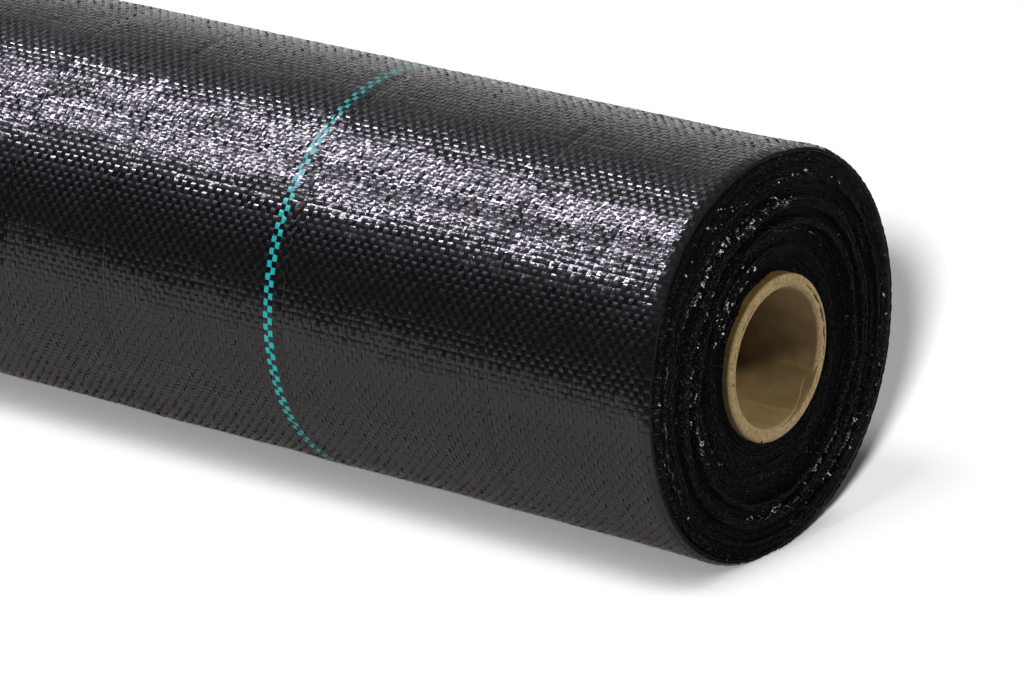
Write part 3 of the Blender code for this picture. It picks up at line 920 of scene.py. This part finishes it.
# The floor is a plain sheet of white paper, and the background is white too. Close to the roll the
# paper's colour is darkened, a painted contact shade where the roll hides most of the room from it.
FLOOR_REACH = (-30.0, 30.0)
FLOOR_COLOUR = "#eeeeee"
PAPER_IOR = 1.45
PAINTED_SHADE_REACH = 0.026
PAINTED_SHADE_DARKEST = 0.38


def level_corners(x_reach, y_reach, height):
    """The four corners of a level rectangle between two places on X and two on Y."""
    (left, right), (front, back) = x_reach, y_reach
    return [(left, front, height), (right, front, height), (right, back, height), (left, back, height)]


def stage_plane(name, corners, material):
    """A four-cornered surface that isn't part of the object."""
    piece = new_piece(name, corners, np.array([[0, 1, 2, 3]]), material)
    return piece


def white_paper():
    """Uncoated white paper: matt, with a painted contact shade that darkens its colour the more of
    the room is hidden.
    """
    material, shader = new_material("white_floor_paper", 0.9, PAPER_IOR, {"Specular IOR Level": 0.0})
    open_share = add_node(material, "ShaderNodeAmbientOcclusion", {"samples": 8},
                          {"Distance": PAINTED_SHADE_REACH})
    painted_contact_shade = add_node(material, "ShaderNodeMapRange",
                       values={"From Min": 0.1, "From Max": 0.7, "To Min": PAINTED_SHADE_DARKEST},
                       links={"Value": open_share.outputs["AO"]})
    shaded = add_node(material, "ShaderNodeMix", {"data_type": "RGBA", "blend_type": "MULTIPLY"},
                      {0: 1.0, 6: linear(FLOOR_COLOUR)}, {7: painted_contact_shade.outputs[0]})
    set_sockets(material, shader, links={"Base Color": shaded.outputs[2]})
    return material


stage_plane("floor", level_corners(FLOOR_REACH, FLOOR_REACH, 0), white_paper())

# Three cards stand round the roll as in a photographer's studio, and only reflections see them. A
# black one in front keeps the white room out of the roll's front. The other two are black cards that
# glow, though they are no lamps, and the roll mirrors their glow: one lies on the floor before it, and
# a ceiling gives the sheen on its top.
BLACK_CARD_X = (-3, 2)
BLACK_CARD_Y = -0.4
BLACK_CARD_HEIGHT = 0.36
FLOOR_CARD_X = (-2, 1.2)
FLOOR_CARD_HEIGHT = 0.001
FLOOR_CARD_GLOW = (BLACK_CARD_Y, -0.04)
FLOOR_CARD_LEVELS = (0.08, 0.5, 1.0, 0.8, 0.2)
FLOOR_CARD_GLOW_COLOUR = "#fff5f4"
CEILING_X = (-6.0, 6.0)
CEILING_Y = (-6.0, 3.0)
CEILING_HEIGHT = 2.6
CEILING_GLOW = (0.6, 3.4)
CEILING_LEVELS = (0.26, 0.5, 0.8)
CARD_COLOUR = "#0a0a0a"


def card(name, corners, levels, glow=(0.0, 1.0), colour="#ffffff"):
    """A black card, seen in reflections only. Its own glow runs through evenly spaced levels from one
    place on Y to another."""
    material, shader = new_material(f"{name}_paint", 1.0, PAPER_IOR, {
        "Base Color": linear(CARD_COLOUR), "Specular IOR Level": 0.0, "Emission Color": linear(colour)})
    place = add_node(material, "ShaderNodeTexCoord").outputs["Object"]
    along = add_node(material, "ShaderNodeSeparateXYZ", links={"Vector": place}).outputs["Y"]
    share = add_node(material, "ShaderNodeMapRange", values={"From Min": glow[0], "From Max": glow[1]},
                     links={"Value": along})
    curve = add_node(material, "ShaderNodeFloatCurve", links={"Value": share.outputs[0]})
    points = curve.mapping.curves[0].points
    while len(points) < len(levels):
        points.new(0.5, 0.5)
    for number, level in enumerate(levels):
        points[number].location = (number / (len(levels) - 1), level)
    curve.mapping.update()
    set_sockets(material, shader, links={"Emission Strength": curve.outputs[0]})
    piece = stage_plane(name, corners, material)
    piece.visible_camera = False
    piece.visible_diffuse = False
    piece.visible_shadow = False
    piece.visible_transmission = False


left, right = BLACK_CARD_X
card("black_card", [(left, BLACK_CARD_Y, 0), (right, BLACK_CARD_Y, 0),
                    (right, BLACK_CARD_Y, BLACK_CARD_HEIGHT),
                    (left, BLACK_CARD_Y, BLACK_CARD_HEIGHT)], (0, 0))
card("ceiling_card", level_corners(CEILING_X, CEILING_Y, CEILING_HEIGHT), CEILING_LEVELS, CEILING_GLOW)
card("floor_card", level_corners(FLOOR_CARD_X, (BLACK_CARD_Y, 0), FLOOR_CARD_HEIGHT),
     FLOOR_CARD_LEVELS, FLOOR_CARD_GLOW, FLOOR_CARD_GLOW_COLOUR)

# Two long narrow lamps above the roll are mirrored in its upper front, and their light breaks up
# there into the band of glints. Each hangs where the roll's surface at its angle mirrors it.
GLINT_ANGLES = (125.5, 139.5)
GLINT_TARGET_X = 0.33
GLINT_DISTANCE = 2.2
GLINT_LAMP_SIZE = (1.15, 0.09)
GLINT_LAMP_LEVEL = 0.62
GLINT_LAMP_COLOUR = "#f3ebff"


def soft_lamp(name, towards, target, distance, size, level, colour):
    """A rectangular soft lamp that faces its target, with its long side along the roll. At the level
    1 it lights a white surface there that faces it to plain white."""
    data = bpy.data.lights.new(name, "AREA")
    data.shape = "RECTANGLE"
    data.size, data.size_y = size
    data.energy = level * (math.pi * distance) ** 2
    data.color = linear(colour)[:3]
    away = Vector(towards).normalized()
    along_roll = (Vector((1, 0, 0)) - away.x * away).normalized()
    turn = Matrix((along_roll, away.cross(along_roll), away)).transposed().to_4x4()
    lamp = bpy.data.objects.new(name, data)
    lamp.matrix_world = Matrix.Translation(Vector(target) + distance * away) @ turn
    lamp.visible_camera = False
    bpy.context.scene.collection.objects.link(lamp)
    return lamp


def mirrored_at(angle):
    """The direction that the roll's surface shows to the camera at an angle round the roll: the
    direction to the camera, mirrored in the surface's normal."""
    to_camera = -Vector(CAMERA_TOWARDS).normalized()
    normal = Vector((0, math.cos(angle), math.sin(angle)))
    return 2 * normal.dot(to_camera) * normal - to_camera


for number, degrees in enumerate(GLINT_ANGLES, 1):
    angle = math.radians(degrees)
    target = round_axis(GLINT_TARGET_X, BODY_OUTER_RADIUS, angle)
    lamp = soft_lamp(f"glint_lamp_{number}", mirrored_at(angle), target, GLINT_DISTANCE,
                     GLINT_LAMP_SIZE, GLINT_LAMP_LEVEL, GLINT_LAMP_COLOUR)
    lamp.visible_diffuse = False

# The plain light comes from two lamps so far off that it is even: one near the camera, whose shadow
# falls behind the roll, and one high up, whose shadow falls under its front. The core has a small
# lamp of its own, from above, which lights the lower part of the bore.
FRONT_LAMP_TOWARDS = (0.428, -0.772, 0.357)
FRONT_LAMP_LEVEL = 2.25
FRONT_LAMP_SPREAD = 4.5
HIGH_LAMP_TOWARDS = (-0.04, -0.45, 0.88)
HIGH_LAMP_LEVEL = 0.34
HIGH_LAMP_SPREAD = 20
CORE_LAMP_TOWARDS = (0.69, 0.08, 0.71)
CORE_LAMP_DISTANCE = 1.6
CORE_LAMP_SIZE = (0.24, 0.24)
CORE_LAMP_LEVEL = 1.0


def reaches(lamp, pieces, only):
    """Lets a lamp light these pieces only, or everything else only."""
    lit = bpy.data.collections.new(f"{lamp.name}_reach")
    for piece in pieces:
        lit.objects.link(piece)
    for entry in lit.collection_objects:
        entry.light_linking.link_state = "INCLUDE" if only else "EXCLUDE"
    lamp.light_linking.receiver_collection = lit


def distant_lamp(name, towards, level, spread):
    """A lamp whose light comes from one side everywhere, spread over an angle given in degrees. At
    the level 1 it lights a white surface that faces it to plain white."""
    data = bpy.data.lights.new(name, "SUN")
    data.energy = level * math.pi
    data.angle = math.radians(spread)
    lamp = bpy.data.objects.new(name, data)
    lamp.rotation_euler = Vector(towards).to_track_quat("Z", "Y").to_euler()
    lamp.visible_glossy = False
    bpy.context.scene.collection.objects.link(lamp)
    return lamp


front_lamp = distant_lamp("front_lamp", FRONT_LAMP_TOWARDS, FRONT_LAMP_LEVEL, FRONT_LAMP_SPREAD)
high_lamp = distant_lamp("high_lamp", HIGH_LAMP_TOWARDS, HIGH_LAMP_LEVEL, HIGH_LAMP_SPREAD)
core_lamp = soft_lamp("core_lamp", CORE_LAMP_TOWARDS, (CORE_END, 0, AXIS_HEIGHT), CORE_LAMP_DISTANCE,
                      CORE_LAMP_SIZE, CORE_LAMP_LEVEL, "#ffffff")
core_lamp.visible_glossy = False
reaches(front_lamp, core_pieces, only=False)
reaches(high_lamp, core_pieces, only=False)
reaches(core_lamp, core_pieces, only=True)

# The room round the roll is white to the camera and in reflections, and gives little light itself.
AMBIENT_STRENGTH = 0.1


def seen_directly_or_mirrored(owner):
    """One for camera, glossy and transmission rays, and nought for the rays that carry soft light."""
    path = add_node(owner, "ShaderNodeLightPath").outputs
    first = add_node(owner, "ShaderNodeMath", {"operation": "MAXIMUM"},
                     links={0: path["Is Camera Ray"], 1: path["Is Glossy Ray"]})
    return add_node(owner, "ShaderNodeMath", {"operation": "MAXIMUM"},
                    links={0: first.outputs[0], 1: path["Is Transmission Ray"]}).outputs[0]


world = bpy.data.worlds.new("white_room")
bpy.context.scene.world = world
world.use_nodes = True
strength = add_node(world, "ShaderNodeMapRange",
                    values={"To Min": AMBIENT_STRENGTH, "To Max": 1.0},
                    links={"Value": seen_directly_or_mirrored(world)})
set_sockets(world, world.node_tree.nodes["Background"], {"Color": (1, 1, 1, 1)},
            {"Strength": strength.outputs[0]})
